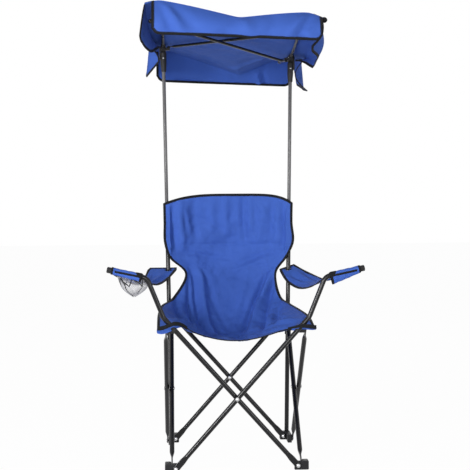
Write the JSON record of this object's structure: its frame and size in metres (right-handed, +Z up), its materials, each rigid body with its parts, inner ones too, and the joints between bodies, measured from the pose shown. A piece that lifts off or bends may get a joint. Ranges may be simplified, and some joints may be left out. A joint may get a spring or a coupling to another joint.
{
  "type": "umbrella chair",
  "caption": "Folding camp chair: scissor tube frame, sling seat and back, strap armrests with a cup pocket, and a tilting canopy on telescoping poles.",
  "frame": {"origin": "floor point under the middle of the bounding box", "axes": "+Z up; the chair faces -Y; +X is to the right of someone who looks at its front"},
  "size_m": [0.8382, 0.9376, 1.534],
  "materials": {
    "black_tube": "gloss black powder coat on 16 mm steel tube",
    "grey_pole": "satin dark grey coat on 13 mm and 10 mm steel tube",
    "black_plastic": "moulded black nylon, lightly textured",
    "rivet_steel": "bright zinc plated rivets",
    "blue_cloth": "royal blue woven polyester with black edge binding",
    "grey_net": "light grey open net with black edge binding"
  },
  "bodies": {
    "rear_left_post": {"left_rear_foot": "black_plastic", "left_post": "black_tube", "seat_sling": "blue_cloth"},
    "left_side_rear_tube": {"left_rear_leg": "black_tube", "left_rivet": "rivet_steel"},
    "left_side_front_tube": {"left_front_leg": "black_tube"},
    "left_front_foot": {"left_front_foot": "black_plastic"},
    "left_slider": {"left_slider": "black_plastic", "left_armrest": "blue_cloth"},
    "left_seat_corner": {"left_seat_corner": "black_plastic"},
    "front_first_tube": {"front_tube_to_right_arm": "black_tube", "front_rivet": "rivet_steel", "right_arm_cap": "black_plastic"},
    "front_second_tube": {"front_tube_to_left_arm": "black_tube", "left_arm_cap": "black_plastic", "cup_pocket": "grey_net"},
    "right_front_foot": {"right_front_foot": "black_plastic"},
    "rear_first_tube": {"rear_tube_from_left": "black_tube", "rear_rivet": "rivet_steel"},
    "rear_second_tube": {"rear_tube_from_right": "black_tube"},
    "rear_right_post": {"right_rear_foot": "black_plastic", "right_post": "black_tube"},
    "right_side_rear_tube": {"right_rear_leg": "black_tube", "right_rivet": "rivet_steel"},
    "right_side_front_tube": {"right_front_leg": "black_tube"},
    "right_slider": {"right_slider": "black_plastic", "right_armrest": "blue_cloth"},
    "right_seat_corner": {"right_seat_corner": "black_plastic"},
    "left_pole": {"left_pole": "grey_pole", "left_pole_socket": "black_plastic"},
    "right_pole": {"right_pole": "grey_pole", "right_pole_socket": "black_plastic"},
    "left_canopy_head": {"left_canopy_head": "black_plastic", "left_front_rib": "grey_pole", "left_rear_rib": "grey_pole", "canopy_cloth": "blue_cloth"},
    "right_canopy_head": {"right_canopy_head": "black_plastic", "right_front_rib": "grey_pole", "right_rear_rib": "grey_pole"},
    "left_diagonal": {"left_diagonal_rib": "grey_pole"},
    "right_diagonal": {"right_diagonal_rib": "grey_pole"}
  },
  "joints": [
    {"name": "fold", "type": "hinge", "parent": "rear_left_post", "child": "left_side_rear_tube", "pos_m": [-0.229, -0.0194, 0.015], "axis": [-1, 0, 0], "range_deg": [0, 34], "deforming": ["seat_sling", "left_armrest", "right_armrest", "canopy_cloth"]},
    {"name": "left_side_cross", "type": "hinge", "parent": "left_side_rear_tube", "child": "left_side_front_tube", "pos_m": [-0.212, -0.2194, 0.239], "axis": [1, 0, 0], "range_deg": [0, 68]},
    {"name": "left_front_foot_pivot", "type": "hinge", "parent": "left_side_front_tube", "child": "left_front_foot", "pos_m": [-0.212, -0.4194, 0.015], "axis": [-1, 0, 0], "range_deg": [0, 34]},
    {"name": "left_slider_pivot", "type": "hinge", "parent": "left_side_front_tube", "child": "left_slider", "pos_m": [-0.212, -0.0194, 0.463], "axis": [-1, 0, 0], "range_deg": [0, 34]},
    {"name": "left_corner_pivot", "type": "hinge", "parent": "left_side_rear_tube", "child": "left_seat_corner", "pos_m": [-0.229, -0.4194, 0.463], "axis": [1, 0, 0], "range_deg": [0, 34]},
    {"name": "front_first_pivot", "type": "hinge", "parent": "left_front_foot", "child": "front_first_tube", "pos_m": [-0.2, -0.4579, 0.015], "axis": [0, -1, 0], "range_deg": [0, 34]},
    {"name": "front_cross", "type": "hinge", "parent": "front_first_tube", "child": "front_second_tube", "pos_m": [0, -0.4409, 0.239], "axis": [0, 1, 0], "range_deg": [0, 68]},
    {"name": "right_front_foot_pivot", "type": "hinge", "parent": "front_second_tube", "child": "right_front_foot", "pos_m": [0.2, -0.4409, 0.015], "axis": [0, -1, 0], "range_deg": [0, 34]},
    {"name": "rear_first_pivot", "type": "hinge", "parent": "rear_left_post", "child": "rear_first_tube", "pos_m": [-0.2, 0.0021, 0.015], "axis": [0, -1, 0], "range_deg": [0, 34]},
    {"name": "rear_cross", "type": "hinge", "parent": "rear_first_tube", "child": "rear_second_tube", "pos_m": [0, 0.0191, 0.239], "axis": [0, 1, 0], "range_deg": [0, 68]},
    {"name": "right_post_pivot", "type": "hinge", "parent": "rear_second_tube", "child": "rear_right_post", "pos_m": [0.2, 0.0191, 0.015], "axis": [0, -1, 0], "range_deg": [0, 34]},
    {"name": "right_side_pivot", "type": "hinge", "parent": "rear_right_post", "child": "right_side_rear_tube", "pos_m": [0.229, -0.0194, 0.015], "axis": [-1, 0, 0], "range_deg": [0, 34]},
    {"name": "right_side_cross", "type": "hinge", "parent": "right_side_rear_tube", "child": "right_side_front_tube", "pos_m": [0.212, -0.2194, 0.239], "axis": [1, 0, 0], "range_deg": [0, 68]},
    {"name": "right_slider_pivot", "type": "hinge", "parent": "right_side_front_tube", "child": "right_slider", "pos_m": [0.212, -0.0194, 0.463], "axis": [-1, 0, 0], "range_deg": [0, 34]},
    {"name": "right_corner_pivot", "type": "hinge", "parent": "right_side_rear_tube", "child": "right_seat_corner", "pos_m": [0.229, -0.4194, 0.463], "axis": [1, 0, 0], "range_deg": [0, 34]},
    {"name": "left_diagonal_pivot", "type": "hinge", "parent": "left_canopy_head", "child": "left_diagonal", "pos_m": [-0.21588, 0.0138, 1.4541], "axis": [0, 0, -1], "range_deg": [0, 39]},
    {"name": "right_diagonal_pivot", "type": "hinge", "parent": "right_canopy_head", "child": "right_diagonal", "pos_m": [0.21588, 0.0138, 1.4041], "axis": [0, 0, 1], "range_deg": [0, 39]},
    {"name": "canopy_lift", "type": "slide", "parent": "rear_left_post", "child": "left_pole", "axis": [-0.0157, 0, 0.9999], "range_m": [-0.35, 0]},
    {"name": "right_pole_lift", "type": "slide", "parent": "rear_right_post", "child": "right_pole", "axis": [0.0157, 0, 0.9999], "range_m": [-0.35, 0]},
    {"name": "canopy_tilt", "type": "hinge", "parent": "left_pole", "child": "left_canopy_head", "pos_m": [-0.23548, 0.0338, 1.4495], "axis": [1, 0, 0], "range_deg": [-30, 28]},
    {"name": "right_head_tilt", "type": "hinge", "parent": "right_pole", "child": "right_canopy_head", "pos_m": [0.23548, 0.0338, 1.4135], "axis": [1, 0, 0], "range_deg": [-30, 28]}
  ],
  "couplings": [
    {"joint": "left_side_cross", "follows": "fold", "ratio": 2},
    {"joint": "left_front_foot_pivot", "follows": "fold", "ratio": 1},
    {"joint": "left_slider_pivot", "follows": "fold", "ratio": 1},
    {"joint": "left_corner_pivot", "follows": "fold", "ratio": 1},
    {"joint": "front_first_pivot", "follows": "fold", "ratio": 1},
    {"joint": "front_cross", "follows": "fold", "ratio": 2},
    {"joint": "right_front_foot_pivot", "follows": "fold", "ratio": 1},
    {"joint": "rear_first_pivot", "follows": "fold", "ratio": 1},
    {"joint": "rear_cross", "follows": "fold", "ratio": 2},
    {"joint": "right_post_pivot", "follows": "fold", "ratio": 1},
    {"joint": "right_side_pivot", "follows": "fold", "ratio": 1},
    {"joint": "right_side_cross", "follows": "fold", "ratio": 2},
    {"joint": "right_slider_pivot", "follows": "fold", "ratio": 1},
    {"joint": "right_corner_pivot", "follows": "fold", "ratio": 1},
    {"joint": "left_diagonal_pivot", "follows": "fold", "ratio": 1.147},
    {"joint": "right_diagonal_pivot", "follows": "fold", "ratio": 1.147},
    {"joint": "right_pole_lift", "follows": "canopy_lift", "ratio": 1},
    {"joint": "right_head_tilt", "follows": "canopy_tilt", "ratio": 1}
  ]
}
